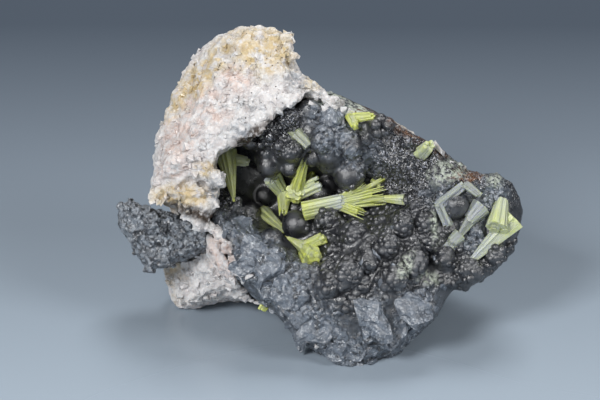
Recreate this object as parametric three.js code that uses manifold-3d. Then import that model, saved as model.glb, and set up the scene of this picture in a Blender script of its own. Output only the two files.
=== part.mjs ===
// A hand specimen of pyromorphite: yellow-green hexagonal crystals in a hollow of black, grape-like
// goethite, which coats a block of white vein quartz. Millimetres, +Z up.
// The stones are shaped in a display frame that leans back from upright: u runs to the right and v up
// along the display face, and w comes out of it. The origin is on the resting surface, under the middle.

import * as THREE from "three";
import { mergeVertices } from "three/addons/utils/BufferGeometryUtils.js";
import { ImprovedNoise } from "three/addons/math/ImprovedNoise.js";
import Module from "manifold-3d";

// Driving dimensions
const LEAN = THREE.MathUtils.degToRad(25); // how far the display face leans back
const FLOOR = -24.3; // height of the resting surface in the upright frame through the display origin
const SHIFT = new THREE.Vector3(-3.38, -5.31, -FLOOR); // from the display origin to the part's origin
const GAP = 0.3; // clearance between neighbouring pieces
const FAR = 120; // larger than the specimen, for cutting blocks
const CRUST_BACK = -17; // depth of the goethite's back against the quartz
const SHOULDER = 8; // how sharply the faces of a stone turn into its wall
const EDGE_CROWDING = 1.3; // how much the facets crowd towards the outline of a stone
const THINNEST = 1; // least thickness of a stone at its outline
const COARSE_GRAIN = 5; // size of the broad dents of a broken stone
const FINE_GRAIN = 2; // size of the small dents
const CURVE_TENSION = 0.3; // how tightly an outline runs through its points
const SAME_POINT = 1e-4; // corners closer than this are one

// Outlines on the display face, as [u, v]
const CRUST_OUTLINE = [
  [3.8, 19.1], [7.8, 17.5], [11.3, 16.1], [15.2, 14.2], [19.1, 12.0], [22.9, 10.0], [26.3, 7.8],
  [28.8, 5.0], [31.9, 4.2], [34.3, 4.7], [36.9, 2.8], [38.3, -0.5], [38.6, -4.9], [36.7, -8.7],
  [33.8, -12.5], [29.5, -15.1], [25.8, -15.8], [24.4, -19.2], [20.6, -23.2], [16.0, -27.3],
  [9.0, -29.6], [1.0, -25.3], [-2.8, -21.5], [-6.6, -17.8], [-9.4, -15.6], [-11.3, -12.5],
  [-13.2, -8.0], [-15.1, -4.5], [-14.9, -0.9], [-13.5, 1.7], [-14.4, 4.9], [-15.1, 7.3],
  [-12.8, 8.8], [-9.5, 10.2], [-6.6, 11.6], [-4.5, 14.2], [-0.3, 17.2],
];
const CROWN_OUTLINE = [
  [-14.7, 28.1], [-11.8, 29.5], [-8.7, 30.7], [-5.5, 30.7], [-3.1, 30.0], [-1.7, 27.7], [-1.5, 24.6],
  [-0.6, 21.9], [1.2, 20.6], [4.0, 19.2], [3.5, 17.3], [-0.9, 15.2], [-4.9, 12.5], [-7.3, 9.4],
  [-11.1, 8.0], [-14.6, 6.6], [-13.2, 0.7], [-15.2, -4.2], [-19.1, -2.4], [-23.4, -1.2], [-26.5, 0.7],
  [-24.8, 3.5], [-26.0, 7.6], [-26.0, 12.5], [-24.3, 17.7], [-20.1, 23.4], [-17.3, 26.9],
];
const BACK_OUTLINE = [
  [-17.3, 24.3], [-8.7, 29.8], [-2.6, 29.1], [-1.6, 22.0], [4.2, 18.8], [11.0, 15.8], [15.0, 14.0],
  [19.2, 11.6], [23.6, 9.2], [27.6, 6.6], [28.6, 4.9], [34.1, 3.1], [36.7, -1.7], [35.5, -7.8],
  [31.2, -11.8], [24.3, -14.6], [22.5, -19.1], [17.3, -22.5], [8.7, -23.4], [1.7, -21.7],
  [-5.2, -17.3], [-13.0, -17.3], [-19.9, -17.3], [-21.1, -10.7], [-22.5, 0.0], [-24.3, 10.4],
];
const FOOT_OUTLINE = [
  [-23.7, -12.1], [-21.1, -9.7], [-17.3, -8.0], [-13.0, -8.0], [-10.4, -12.1], [-7.3, -15.9],
  [-8.7, -17.0], [-13.0, -17.8], [-16.8, -18.7], [-20.6, -19.8], [-22.2, -18.4], [-22.9, -15.6],
];
const STREAK_OUTLINE = [
  [-16.1, -5.4], [-14.4, -5.9], [-12.8, -8.1], [-11.6, -10.6], [-10.6, -13.5], [-12.0, -14.2],
  [-14.4, -12.0], [-15.8, -9.7], [-16.5, -7.5],
];
const VEIN_OUTLINE = [
  [-31.5, -1.7], [-30.8, -0.5], [-29.1, -0.3], [-27.4, -1.4], [-24.3, -2.3], [-19.9, -2.8],
  [-16.5, -3.6], [-14.6, -5.0], [-14.9, -7.3], [-16.5, -9.0], [-19.1, -10.0], [-21.7, -10.9],
  [-23.4, -11.8], [-26.0, -12.1], [-27.7, -10.7], [-28.8, -8.3], [-30.0, -6.6], [-31.5, -4.9],
];

// The grapes of goethite, as [u, v, radius, how far the middle stands out of the surface]
const GRAPES = [
  [-6.1, 7.3, 2.0, 0.8], [-1.4, 8.3, 2.0, 0.8], [3.8, 10.4, 2.5, 0.5], [5.2, 6.6, 2.4, 1.0],
  [13.2, 12.6, 1.6, 0.5], [15.0, 13.0, 1.5, 0.5], [9.5, 6.1, 2.4, 0.8], [8.2, 10.2, 2.4, 0.3],
  [3.6, 0.9, 1.8, 0.5], [-1.4, -1.7, 1.9, 0.4], [0.6, -4.9, 2.0, 0.3], [5.2, -3.8, 2.1, 0.3],
  [-4.2, -9.5, 2.1, 0.2], [4.6, -14.2, 2.0, 0.0], [8.0, -12.8, 2.2, 0.0], [11.6, -10.6, 2.1, 0.0],
  [15.2, -8.0, 2.0, 0.0], [9.2, -6.0, 2.0, 0.0], [17.6, -4.6, 2.0, 0.0], [18.8, -10.8, 2.1, 0.0],
  [16.0, -13.6, 2.0, 0.0], [26.9, -0.9, 2.5, 0.1],
  [30.3, -4.3, 2.2, -0.8], [25.1, -10.4, 2.2, 0.1], [29.5, -12.1, 2.2, 0.1], [33.8, -9.5, 2.0, 0.1],
];
const GRAPE_DETAIL = 1;

// Curved plates of broken crust, as [u, v, half width, half height, half thickness, turn in degrees]
const PLATES = [
  [12.6, -20.0, 2.1, 5.0, 1.4, -12], [20.2, -18.6, 3.5, 3.4, 1.4, 10], [-7.6, -11.0, 3.8, 3.2, 1.1, 35],
  [-0.8, -15.5, 3.6, 3.2, 1.1, 30],
];

// Flat breaks of the quartz, as a point on each and the direction it faces, both [u, v, w]
const BREAKS = [
  { at: [22, 6, -20], facing: [0.5, 0.35, -0.8] },
  { at: [-17, 12, -21], facing: [-0.6, 0.25, -0.75] },
  { at: [-8, 25, -13], facing: [0.1, 0.75, -0.65] },
  { at: [-24.5, 6, -9], facing: [-0.85, 0.2, -0.5] },
  { at: [-20.5, -12, -22], facing: [-0.8, 0.1, -0.6] },
  { at: [29, -9, -15], facing: [0.7, -0.5, -0.5] },
  { at: [4, 4, -27.5], facing: [0.1, 0.2, -1] },
];

const wasm = await Module();
wasm.setup();
const grain = new ImprovedNoise();

// A closed geometry as a solid that can be joined and cut
function solidOf(geometry) {
  const bare = new THREE.BufferGeometry();
  bare.setAttribute("position", geometry.getAttribute("position"));
  bare.setIndex(geometry.index);
  const merged = mergeVertices(bare, SAME_POINT);
  const triVerts = Uint32Array.from(merged.index.array);
  return new wasm.Manifold(
    new wasm.Mesh({ numProp: 3, vertProperties: merged.attributes.position.array, triVerts }),
  );
}

function geometryOf(solid) {
  const { vertProperties, triVerts } = solid.getMesh();
  const geometry = new THREE.BufferGeometry();
  geometry.setAttribute("position", new THREE.BufferAttribute(vertProperties, 3));
  geometry.setIndex(new THREE.BufferAttribute(triVerts, 1));
  geometry.computeVertexNormals();
  return geometry;
}

const join = (solids) => solids.reduce((whole, next) => whole.add(next));

// The main body of a cut stone, without the crumbs that the cuts leave
const mainBody = (solid) => solid.decompose().sort((a, b) => b.volume() - a.volume())[0];

// Smooth hollow or swelling of the surface: full height at its middle, fading over its two half sizes
function swell(u, v, { at, half, height, turn = 0, flat = 1 }) {
  const a = THREE.MathUtils.degToRad(turn);
  const along = (u - at[0]) * Math.cos(a) + (v - at[1]) * Math.sin(a);
  const across = (v - at[1]) * Math.cos(a) - (u - at[0]) * Math.sin(a);
  const reach = (along / half[0]) ** 2 + (across / half[1]) ** 2;
  return height * Math.exp(-(reach ** flat));
}

// Depth w at which the resting surface passes through height v of the display face
const floorDepth = (v) => (FLOOR - v * Math.cos(LEAN)) / Math.sin(LEAN);

// The block of space above the resting surface
function aboveFloor() {
  const block = new THREE.BoxGeometry(FAR, FAR, FAR);
  block.translate(0, 0, FLOOR + FAR / 2);
  block.rotateX(LEAN - Math.PI / 2);
  return solidOf(block);
}

// Where a point of the square from -1 to 1 goes on a disc: its share of the radius and of a full turn
function onDisc(x, y) {
  const share = Math.max(Math.abs(x), Math.abs(y));
  if (share === 0) return { share, turn: 0 };
  const sideways = Math.abs(x) >= Math.abs(y);
  const eighth = sideways ? y / x / 8 : 0.25 - x / y / 8;
  const opposite = (sideways ? x : y) < 0 ? 0.5 : 0;
  return { share, turn: THREE.MathUtils.euclideanModulo(eighth + opposite, 1) };
}

// The block of space beyond a flat break
function beyond({ at, facing }) {
  const block = new THREE.BoxGeometry(FAR, FAR, FAR);
  block.translate(0, 0, FAR / 2);
  const away = new THREE.Vector3(...facing).normalize();
  block.applyQuaternion(new THREE.Quaternion().setFromUnitVectors(new THREE.Vector3(0, 0, 1), away));
  block.translate(...at);
  return solidOf(block);
}

// A closed stone filled out from its outline: front(u, v) and back(u, v) give the depth of its two
// faces, which fall back by its rounding at the outline. Its wall joins them there.
function stone({ outline, middle, front, back, steps, wall = 1, rounding = 3, rough = 0, grow = 0 }) {
  const points = outline.map(([u, v]) => new THREE.Vector3(u, v, 0));
  if (THREE.ShapeUtils.area(points) < 0) points.reverse();
  const edge = new THREE.CatmullRomCurve3(points, true, "catmullrom", CURVE_TENSION);
  const geometry = new THREE.BoxGeometry(2, 2, 2, steps, steps, wall);
  const { position } = geometry.attributes;
  const place = new THREE.Vector3();
  for (let i = 0; i < position.count; i++) {
    const { share, turn } = onDisc(position.getX(i), position.getY(i));
    edge.getPointAt(turn, place);
    place.x -= middle[0];
    place.y -= middle[1];
    const reach = 1 - (1 - share) ** EDGE_CROWDING;
    place.setLength((place.length() + grow) * reach);
    const u = middle[0] + place.x;
    const v = middle[1] + place.y;
    const fall = 1 - (1 - reach ** SHOULDER) ** (1 / SHOULDER);
    const frontDepth = front(u, v) + grow - rounding * fall;
    const backDepth = Math.min(back(u, v) - grow + rounding * fall, frontDepth - THINNEST);
    const depth = THREE.MathUtils.lerp(backDepth, frontDepth, (position.getZ(i) + 1) / 2);
    const coarse = grain.noise(u / COARSE_GRAIN, v / COARSE_GRAIN, depth / COARSE_GRAIN);
    const fine = grain.noise(u / FINE_GRAIN, v / FINE_GRAIN, depth / FINE_GRAIN);
    const bump = rough * (coarse + fine / 2);
    position.setXYZ(i, u + bump * fall, v + bump * fall, depth + bump * (1 - fall));
  }
  return solidOf(geometry);
}

function ball([u, v, w], radius) {
  const geometry = new THREE.IcosahedronGeometry(radius, GRAPE_DETAIL);
  geometry.rotateX(u).rotateY(v).translate(u, v, w);
  return solidOf(indexed(geometry));
}

// Icosahedron geometries come without an index
function indexed(geometry) {
  geometry.deleteAttribute("normal");
  geometry.deleteAttribute("uv");
  return mergeVertices(geometry, SAME_POINT);
}

// Goethite: the dark crust with its hollow

const CAVE = { at: [-7.8, 1.7], half: [10.5, 5.8], height: 15, turn: -47, flat: 2.5 };
const BOWL = { at: [4.3, 0.9], half: [13, 6.5], height: 10.5, turn: 4, flat: 1.5 };
const NOOK = { at: [1.2, -7.4], half: [4.4, 3.2], height: 6 };
const BELLY = { at: [10.5, -16], half: [12, 9], height: 4.5 };
const RIGHT_LOBE = { at: [34, -4], half: [9, 10], height: -3.5 };
const VALLEY = { at: [23.2, -8], half: [2.6, 7], height: -3, turn: -20 };
const LEFT_WALL = { at: [-7.5, -11], half: [7, 6], height: 1.5 };
const CRUST_LEVEL = 4; // depth of the display face between its hollows
const TOP_FALL = 0.22; // how fast the upper edge of the crust falls back
const TOP_START = 4; // height above which it does
const LOBE_START = 20; // where the crust begins to thin towards its right lobe
const BACK_RISE = 0.5; // how fast the crust's back comes forward towards its upper and right edges
const TOE = 2.5; // thickness of the crust where it stands on its lowest tip

function crustFront(u, v) {
  const hollow = Math.hypot(...[CAVE, BOWL, NOOK].map((shape) => swell(u, v, shape)));
  const raised = [BELLY, RIGHT_LOBE, VALLEY, LEFT_WALL].reduce((sum, shape) => sum + swell(u, v, shape), 0);
  const level = CRUST_LEVEL - TOP_FALL * Math.max(0, v - TOP_START);
  return Math.max(level + raised - hollow, floorDepth(v) + TOE);
}

function crustBack(u, v) {
  const lobe = BACK_RISE * Math.max(0, u - LOBE_START);
  const top = BACK_RISE * Math.max(0, v - TOP_START);
  return Math.max(CRUST_BACK + lobe + top, floorDepth(v) + 2 * TOE);
}

const crustShape = {
  outline: CRUST_OUTLINE, middle: [4, -3], steps: 14, rounding: 4, rough: 0.5,
  front: crustFront, back: crustBack,
};

// Every grape as its middle and radius
const grapeList = GRAPES.map(([u, v, radius, rise]) => ({ at: [u, v, crustFront(u, v) + rise], radius }));

// Distance from a point of the display face to the outline of the crust
function edgeDistance(u, v) {
  const point = new THREE.Vector3(u, v, 0);
  const corners = CRUST_OUTLINE.map(([a, b]) => new THREE.Vector3(a, b, 0));
  const distances = corners.map((corner, i) => {
    const side = new THREE.Line3(corner, corners[(i + 1) % corners.length]);
    return side.closestPointToPoint(point, true, new THREE.Vector3()).distanceTo(point);
  });
  return Math.min(...distances);
}

function plates() {
  return PLATES.map(([u, v, a, b, thick, turn]) => {
    const geometry = new THREE.IcosahedronGeometry(1, 1);
    geometry.scale(a, b, thick).rotateZ(THREE.MathUtils.degToRad(turn)).translate(u, v, crustFront(u, v));
    return solidOf(indexed(geometry));
  });
}

function goethiteCrust() {
  const balls = grapeList.map(({ at, radius }) => ball(at, radius));
  return join([stone(crustShape), ...balls, ...plates()]);
}

// Goethite vein that sticks out of the quartz on the left
const VEIN_MIDDLE = [-23, -6.2];
const VEIN_LEVEL = -3.2; // depth of the vein's face at its middle
const VEIN_RISE = 0.15; // how fast the face comes forward going up
const VEIN_TURN = 0.1; // and going to the right
const VEIN_BACK = -15;
const veinShape = {
  outline: VEIN_OUTLINE, middle: VEIN_MIDDLE, steps: 7, rounding: 3.5, rough: 0.9, back: () => VEIN_BACK,
  front: (u, v) => VEIN_LEVEL + VEIN_RISE * (v - VEIN_MIDDLE[1]) + VEIN_TURN * (u - VEIN_MIDDLE[0]),
};

// Quartz: crown, back, foot and the streak beside the vein

const CROWN_LEVEL = 4.5; // depth of the crown's main face
const CROWN_TURN = 0.1; // how fast that face comes forward going to the right
const CROWN_MIDDLE = -15;
const TOP_EDGE = { height: 17, level: 5, fall: 0.6 }; // the face above it falls back to the top
const BEVEL = { start: [-26, 8], inward: [0.857, -0.514], level: -4, rise: 1.9 }; // on the upper left
const LEDGE = { top: 3.8, level: 1.5 }; // the step below the crown's main face
const CROWN_DEEPEST = -8;
const CROWN_BACK = -18;

function crownFront(u, v) {
  const main = CROWN_LEVEL + CROWN_TURN * (u - CROWN_MIDDLE);
  const top = TOP_EDGE.level - TOP_EDGE.fall * (v - TOP_EDGE.height);
  const inward = (u - BEVEL.start[0]) * BEVEL.inward[0] + (v - BEVEL.start[1]) * BEVEL.inward[1];
  const bevel = BEVEL.level + BEVEL.rise * inward;
  const ledge = v < LEDGE.top ? LEDGE.level : FAR;
  return Math.max(CROWN_DEEPEST, Math.min(main, top, bevel, ledge));
}

// The back of the quartz: deepest in the middle, coming forward to the top, the right and the left
const DEEPEST = -29;
const TO_TOP = { start: 4, rise: 0.45 };
const TO_RIGHT = { start: 10, rise: 0.4 };
const TO_LEFT = { start: -8, rise: 0.25 };

function quartzBack(u, v) {
  const top = TO_TOP.rise * Math.max(0, v - TO_TOP.start);
  const right = TO_RIGHT.rise * Math.max(0, u - TO_RIGHT.start);
  const left = TO_LEFT.rise * Math.max(0, TO_LEFT.start - u);
  return DEEPEST + top + right + left;
}

const BACK_FRONT = { level: -7, fall: 0.1 }; // front of the back block, falling back below the middle
const FOOT = { middle: [-16, -14], level: -12.5, rise: 0.25, back: -26 };
const STREAK = { front: 0.5, back: -16 };

function quartzMatrix() {
  const crown = stone({
    outline: CROWN_OUTLINE, middle: [-14.5, 15], steps: 9, rounding: 3, rough: 1,
    front: crownFront, back: () => CROWN_BACK,
  });
  const backBlock = stone({
    outline: BACK_OUTLINE, middle: [3, -1], steps: 8, rounding: 3, rough: 1.2,
    front: (u, v) => BACK_FRONT.level - BACK_FRONT.fall * Math.max(0, -v), back: quartzBack,
  });
  const foot = stone({
    outline: FOOT_OUTLINE, middle: FOOT.middle, steps: 6, rounding: 2, rough: 0.7,
    front: (u, v) => FOOT.level + FOOT.rise * (v - FOOT.middle[1]), back: () => FOOT.back,
  });
  const streak = stone({
    outline: STREAK_OUTLINE, middle: [-13.6, -9.5], steps: 4, rounding: 1.5, rough: 0.4,
    front: () => STREAK.front, back: () => STREAK.back,
  });
  return join([backBlock, crown, foot, streak]).subtract(join(BREAKS.map(beyond)));
}

// All the space that the crust and its hollow take out of the quartz
function crustSpace() {
  const hollow = stone({ ...crustShape, rough: 0, front: () => FAR / 2, grow: GAP });
  const crossing = grapeList.filter(({ at, radius }) => edgeDistance(at[0], at[1]) < radius + GAP);
  const balls = crossing.map(({ at, radius }) => ball(at, radius + 2 * GAP));
  return join([hollow, stone({ ...crustShape, grow: 2 * GAP }), ...balls]);
}

// Pyromorphite crystals

const SIDES = 6;

// A hexagonal prism from one point to another. flat thins it across, and turn rolls it about its axis.
function prism({ from, to, radius, end = radius, flat = 1, turn = 0 }, grow) {
  const start = new THREE.Vector3(...from);
  const axis = new THREE.Vector3(...to).sub(start);
  const length = axis.length() + 2 * grow;
  const geometry = new THREE.CylinderGeometry(end + grow, radius + grow, length, SIDES, 1);
  geometry.scale(1, 1, flat + (grow * (1 - flat)) / radius);
  geometry.rotateY(THREE.MathUtils.degToRad(turn)).translate(0, length / 2 - grow, 0);
  geometry.applyQuaternion(
    new THREE.Quaternion().setFromUnitVectors(new THREE.Vector3(0, 1, 0), axis.normalize()),
  );
  geometry.translate(start.x, start.y, start.z);
  return solidOf(geometry);
}

// The splayed bundle of rods at the head of the sheaf, from its neck to each tip
const SHEAF_NECK = [6.6, -0.6, -1.0];
const SHEAF_TIPS = [
  [9.9, 2.4, -0.6], [11.4, 1.5, 0.4], [14.5, 3.6, -2.3], [15.4, 1.0, -1.3], [13.0, -0.2, 0.8],
  [12.2, -1.8, 0.2], [10.2, -2.4, 0.4], [12.6, 3.9, -3.2],
];

// Each crystal or group: the prisms that it is grown together from, in display coordinates
const CRYSTALS = {
  crystal_sheaf: [
    { from: [0.5, -1.9, -0.8], to: [7.4, -0.3, -1.0], radius: 1.6, end: 1.4, flat: 0.9 },
    { from: SHEAF_NECK, to: [12.4, 0.8, -0.8], radius: 1.2, end: 2.2, flat: 0.45 },
    ...SHEAF_TIPS.map((tip) => ({ from: SHEAF_NECK, to: tip, radius: 0.8, end: 0.45 })),
    { from: [9.5, 0.2, -0.8], to: [15.4, 0.2, -0.3], radius: 0.7, end: 0.8, flat: 0.8 },
    { from: [15.0, 0.2, -0.3], to: [18.4, 0.0, 0.7], radius: 1.0, end: 1.1, flat: 0.7 },
  ],
  crystal_centre: [
    { from: [-0.9, 0.4, -9.6], to: [-0.7, 2.2, -2.4], radius: 1.7, end: 1.6, turn: 20 },
    { from: [-0.8, 2.4, -3.8], to: [1.0, 7.2, 0.6], radius: 1.4, end: 0.35, flat: 0.7 },
    { from: [-0.2, 2.0, -3.6], to: [3.2, 2.9, -2.6], radius: 1.5, end: 1.0, flat: 0.7 },
    { from: [0.4, 2.6, -6.4], to: [2.6, 4.4, -4.2], radius: 1.1, end: 0.9 },
    { from: [-2.4, 0.2, -9.4], to: [-5.0, 4.0, -5.6], radius: 1.0, end: 1.5, flat: 0.7 },
    { from: [-2.6, 1.0, -8.0], to: [-2.8, -2.2, -5.4], radius: 1.3, end: 0.9, flat: 0.7 },
  ],
  crystal_cave_wall: [
    { from: [-12.8, 8.6, -8.0], to: [-12.0, 3.6, -6.0], radius: 2.1, end: 1.4, flat: 0.55 },
    { from: [-12.1, 4.2, -6.2], to: [-11.5, 0.2, -4.6], radius: 1.5, end: 0.35, flat: 0.55 },
  ],
  crystal_cave_floor: [
    { from: [-6.6, -2.2, -10.6], to: [-2.7, -5.4, -3.8], radius: 1.3, end: 0.7, flat: 0.6 },
  ],
  crystal_fan: [
    { from: [0.8, -8.2, -1.2], to: [2.2, -10.0, 4.4], radius: 1.8, end: 1.9, flat: 0.8, turn: 15 },
    { from: [1.0, -8.0, 0.8], to: [4.0, -6.5, 2.6], radius: 1.0, end: 1.1, flat: 0.6 },
    { from: [1.0, -8.2, 0.8], to: [-2.5, -6.3, 1.2], radius: 1.1, end: 0.5, flat: 0.6 },
  ],
  crystal_tab: [
    { from: [-2.2, 12.8, 1.5], to: [0.0, 11.0, 2.8], radius: 1.1, end: 1.3, flat: 0.5 },
    { from: [-0.4, 11.4, 2.6], to: [1.5, 9.5, 3.0], radius: 1.3, end: 0.9, flat: 0.5 },
  ],
  crystal_club: [
    { from: [31.4, -1.3, 1.8], to: [29.2, -3.6, 2.4], radius: 1.5, end: 1.1, flat: 0.8 },
    { from: [29.4, -3.4, 2.3], to: [27.4, -6.3, 2.2], radius: 0.9, end: 0.6 },
    { from: [27.6, -6.2, 1.8], to: [25.9, -7.6, 2.4], radius: 1.4, end: 1.3, turn: 10 },
    { from: [26.2, -7.4, 1.6], to: [25.2, -9.2, 2.2], radius: 1.1, end: 1.3 },
  ],
  crystal_pair: [
    { from: [35.0, -0.2, 0.2], to: [34.0, -5.0, 3.8], radius: 1.3, end: 2.0, turn: 12 },
    { from: [36.8, -3.6, 1.2], to: [29.1, -11.0, 2.4], radius: 1.9, end: 0.5, flat: 0.75 },
  ],
  crystal_elbow: [
    { from: [24.0, -1.2, 2.5], to: [28.4, 2.6, 2.4], radius: 1.0, end: 0.9, flat: 0.8 },
    { from: [24.2, -0.8, 2.5], to: [25.5, -4.3, 2.0], radius: 0.9, end: 1.0, flat: 0.8 },
  ],
  crystal_ridge: [
    { from: [21.0, 8.0, 1.4], to: [22.4, 9.4, 4.0], radius: 1.4, end: 1.2, turn: 25 },
  ],
  crystal_upper: [
    { from: [8.8, 14.4, 0.8], to: [9.6, 12.6, 3.6], radius: 1.1, end: 0.9 },
    { from: [9.4, 14.2, 1.0], to: [12.6, 14.6, 2.2], radius: 0.9, end: 0.8 },
  ],
  crystal_foot: [
    { from: [-5.2, -17.0, 0.0], to: [-6.8, -19.3, 0.4], radius: 0.9, end: 1.0 },
  ],
};

const crystal = (prisms, grow) => join(prisms.map((one) => prism(one, grow)));

// Assembly

const QUARTZ = { color: 0xd9d0c8, roughness: 0.6, metalness: 0 };
const GOETHITE = { color: 0x2b2b31, roughness: 0.4, metalness: 0.2 };
const PYROMORPHITE = { color: 0xb3b84a, roughness: 0.3, metalness: 0 };

const specimen = new THREE.Group();
specimen.rotation.x = Math.PI / 2 - LEAN;
specimen.position.copy(SHIFT);

function addNode(name, solid, finish) {
  const mesh = new THREE.Mesh(geometryOf(solid), new THREE.MeshStandardMaterial(finish));
  mesh.name = name;
  specimen.add(mesh);
}

const sockets = join(Object.values(CRYSTALS).map((prisms) => crystal(prisms, GAP)));
const standing = aboveFloor();
const vein = stone(veinShape).subtract(crustSpace());
const veinSpace = stone({ ...veinShape, grow: GAP });
const crust = goethiteCrust().subtract(sockets).intersect(standing);
const quartz = quartzMatrix().subtract(crustSpace()).subtract(veinSpace).subtract(sockets);

addNode("quartz_matrix", mainBody(quartz.intersect(standing)), QUARTZ);
addNode("goethite_crust", mainBody(crust), GOETHITE);
addNode("goethite_vein", mainBody(vein), GOETHITE);
Object.entries(CRYSTALS).forEach(([name, prisms]) => addNode(name, crystal(prisms, 0), PYROMORPHITE));

const root = new THREE.Group();
root.add(specimen);

export default root;
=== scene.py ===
"""Dresses a pyromorphite specimen: sugary quartz, grape-like goethite and bundles of yellow-green crystal."""

import math
import random

import bmesh
import bpy
import numpy as np
from mathutils import Matrix, Vector, noise
from mathutils.bvhtree import BVHTree


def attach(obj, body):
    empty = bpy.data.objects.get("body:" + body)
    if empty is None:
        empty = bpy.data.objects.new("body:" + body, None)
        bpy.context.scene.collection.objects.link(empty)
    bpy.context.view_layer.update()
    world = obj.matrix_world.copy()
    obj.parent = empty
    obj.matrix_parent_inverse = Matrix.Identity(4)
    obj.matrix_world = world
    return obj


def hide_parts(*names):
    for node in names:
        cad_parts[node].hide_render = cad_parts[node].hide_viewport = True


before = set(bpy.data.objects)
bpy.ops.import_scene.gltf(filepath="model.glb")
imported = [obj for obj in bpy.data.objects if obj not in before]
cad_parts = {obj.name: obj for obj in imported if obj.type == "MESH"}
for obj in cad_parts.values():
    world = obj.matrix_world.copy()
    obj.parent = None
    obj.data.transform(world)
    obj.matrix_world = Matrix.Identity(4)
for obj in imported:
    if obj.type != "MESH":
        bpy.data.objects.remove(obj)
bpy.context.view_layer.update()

bl_info = {
    "name": "Pyromorphite specimen",
    "version": (1, 0, 0),
    "blender": (4, 5, 0),
    "location": "3D View > Sidebar > Specimen",
    "description": "Builds the stones, the crystals and the stage of a pyromorphite specimen",
    "category": "Object",
}

# The display face: u to the right, v up and w out of it, in millimetres. It leans back from upright.
MM = 0.001
LEAN = math.radians(25.0)
ORIGIN_SHIFT = Vector((-3.38, -5.31, 24.3))
DISPLAY = (
    Matrix.Scale(MM, 4)
    @ Matrix.Translation(ORIGIN_SHIFT)
    @ Matrix.Rotation(math.pi / 2 - LEAN, 4, "X")
)
MERGE = 0.002
FAR_OUT = 60.0

# The marks of the display face fade out behind it
STAIN_DEPTH = -17.0
STAIN_FADE = 5.0

# The stain of the back sets in behind this depth
BACK_START = -8.0
BACK_FADE = 4.0

# Large grapes of goethite: middle u, v, radius, and how far the middle stands out of the surface
LARGE_GRAPES = (
    (-5.4, 5.9, 2.1, 0.9), (-1.6, 8.3, 1.6, 0.8), (-5.9, 8.0, 1.2, 0.7), (5.2, 8.0, 2.6, 0.9),
    (2.1, 7.3, 1.6, 0.9), (8.5, 4.3, 2.8, 0.4), (-1.6, 5.4, 1.6, 0.8), (3.5, 1.2, 1.9, 0.8),
    (4.9, 2.8, 1.8, 0.6), (-0.9, -1.6, 1.9, 0.6), (5.2, -4.2, 2.7, 0.0), (-0.7, -4.2, 2.5, 0.2),
    (-4.9, -6.9, 2.2, 0.6), (-6.2, 0.7, 2.1, 0.4), (-8.7, -2.1, 1.8, 0.3), (11.4, 10.7, 1.5, 0.2),
    (30.8, -2.9, 2.6, -0.4), (1.8, 11.9, 2.0, 0.3), (8.9, 9.0, 2.0, 0.4), (-3.2, 3.0, 1.4, 0.3),
    (-5.2, 12.0, 2.2, 1.8), (-1.8, 14.0, 2.2, 1.6), (1.6, 15.4, 2.0, 1.2), (-8.6, 10.2, 1.6, 1.6),
)
BLACK_GRAPES = (
    (13.0, 12.9, 1.1), (13.9, 13.9, 1.1), (15.2, 13.0, 1.2), (14.5, 11.9, 1.1), (13.3, 11.6, 1.0),
    (18.4, 9.9, 1.3), (16.8, 12.2, 0.8), (-5.2, 11.0, 1.0), (-6.8, 9.6, 0.9), (-3.6, 9.4, 1.1),
)

# Fields of grapes: middle u, v, half width, half height, largest and least radius, tries
MOUND_FIELDS = (
    (12.5, -6.5, 11.0, 8.5, 2.6, 1.5, 170), (3.8, -15.8, 5.2, 4.4, 2.3, 1.4, 70),
    (10.0, -16.5, 5.0, 3.4, 2.2, 1.4, 50), (19.5, -14.5, 5.0, 2.8, 2.0, 1.3, 40),
    (31.0, -9.5, 8.0, 6.5, 2.2, 1.4, 60),
)
GRAPE_FIELDS = (
    (12.5, -6.5, 11.5, 9.0, 1.00, 0.45, 3600), (3.8, -15.8, 5.4, 4.6, 1.20, 0.60, 700),
    (10.0, -16.5, 5.0, 3.4, 1.10, 0.50, 500), (19.5, -14.5, 5.0, 2.8, 1.00, 0.50, 500),
    (31.0, -9.5, 8.0, 6.5, 1.00, 0.45, 800), (-3.4, 10.6, 4.4, 3.4, 0.75, 0.38, 900),
    (22.5, -4.0, 3.6, 5.0, 0.90, 0.42, 700),
)
DRUSE_FIELDS = (
    (18.6, 6.2, 6.4, 7.4, 0.42, 0.20, 2600),
    (-5.0, 12.2, 5.0, 2.8, 0.40, 0.22, 900),
    (28.0, 5.2, 7.0, 3.0, 0.38, 0.22, 1000),
    (35.6, 0.0, 2.6, 6.0, 0.40, 0.22, 700),
    (-13.4, 1.2, 1.8, 4.4, 0.45, 0.25, 500),
)

# Zones of the goethite: middle u, v, half width, half height, turn in degrees
BREAK_SPOTS = (
    (-10.6, -4.0, 5.6, 2.9, -48), (-7.6, -10.0, 4.8, 4.2, -40), (-3.0, -14.2, 5.4, 4.6, -30),
    (2.6, -21.5, 7.5, 3.6, -38), (12.5, -21.4, 2.2, 5.4, -8), (20.3, -18.8, 4.0, 3.8, 8),
    (8.5, -26.6, 7.0, 2.8, 0), (17.0, -24.8, 6.0, 2.6, 20), (5.6, 14.0, 4.2, 3.2, -20),
    (12.6, 6.6, 3.0, 3.2, 0), (8.0, 12.8, 2.4, 2.0, 0), (5.4, 10.0, 3.0, 2.2, 0), (9.0, 7.0, 2.4, 1.8, 0),
    (31.0, 2.6, 5.0, 2.4, -15), (33.4, -1.4, 2.6, 3.0, 0), (24.0, 1.4, 2.6, 3.0, 0),
    (29.6, -6.8, 2.0, 2.6, 40),
)
DRUSY_SPOTS = (
    (18.6, 6.4, 6.6, 7.4, 0), (-3.4, 13.2, 4.2, 2.8, 35), (27.0, 5.6, 6.0, 3.0, -25),
    (-13.4, 1.0, 1.6, 4.0, 10),
)
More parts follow.
